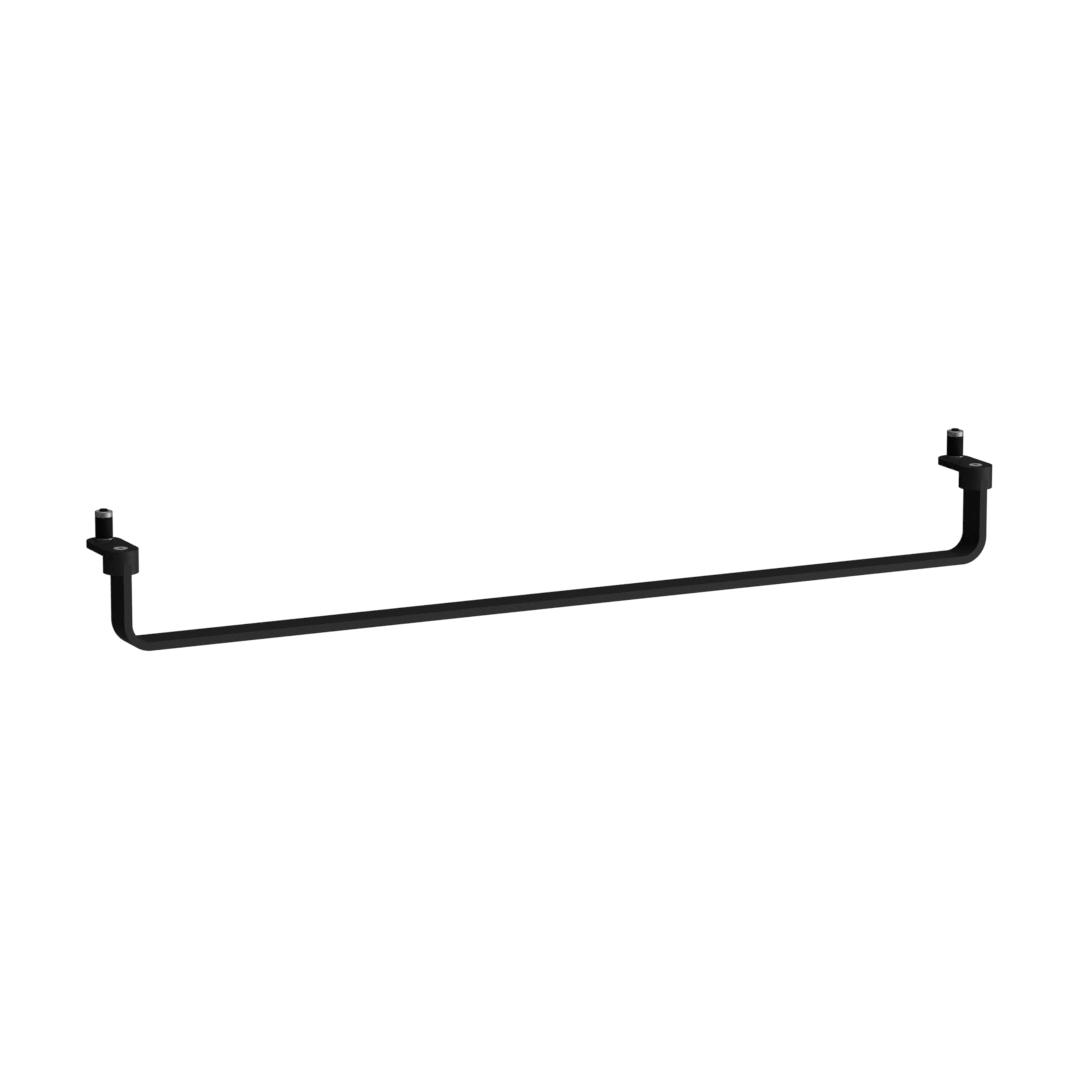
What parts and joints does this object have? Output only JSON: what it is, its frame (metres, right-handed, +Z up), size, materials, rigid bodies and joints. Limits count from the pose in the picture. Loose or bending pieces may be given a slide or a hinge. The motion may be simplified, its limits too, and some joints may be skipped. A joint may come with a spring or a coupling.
{
  "type": "towel rail",
  "caption": "Towel rail for under a washbasin: a black flat bar bent into a wide U, with slotted bosses, offset arms and rubber expansion plugs.",
  "frame": {"origin": "level with the underside of the bar, midway between the legs and midway between the boss axes and the plug axes", "axes": "+X along the rail to its right end, +Y to the wall behind it, +Z up to the basin, along the plugs"},
  "size_m": [0.565, 0.0446, 0.0751],
  "materials": {
    "black_coat": "matt black powder coat with a fine texture",
    "bright_steel": "turned stainless steel",
    "black_steel": "black oxide, lightly oiled",
    "rubber": "smooth moulded, satin"
  },
  "bodies": {
    "root": {"rail": "black_coat", "left_boss": "black_coat", "left_arm": "black_coat", "left_arm_screw": "bright_steel", "left_plug_bolt": "black_steel", "left_plug_washer": "bright_steel", "left_plug_sleeve": "rubber", "left_plug_nut": "bright_steel", "right_boss": "black_coat", "right_arm": "black_coat", "right_arm_screw": "bright_steel", "right_plug_bolt": "black_steel", "right_plug_washer": "bright_steel", "right_plug_sleeve": "rubber", "right_plug_nut": "bright_steel"}
  },
  "joints": []
}
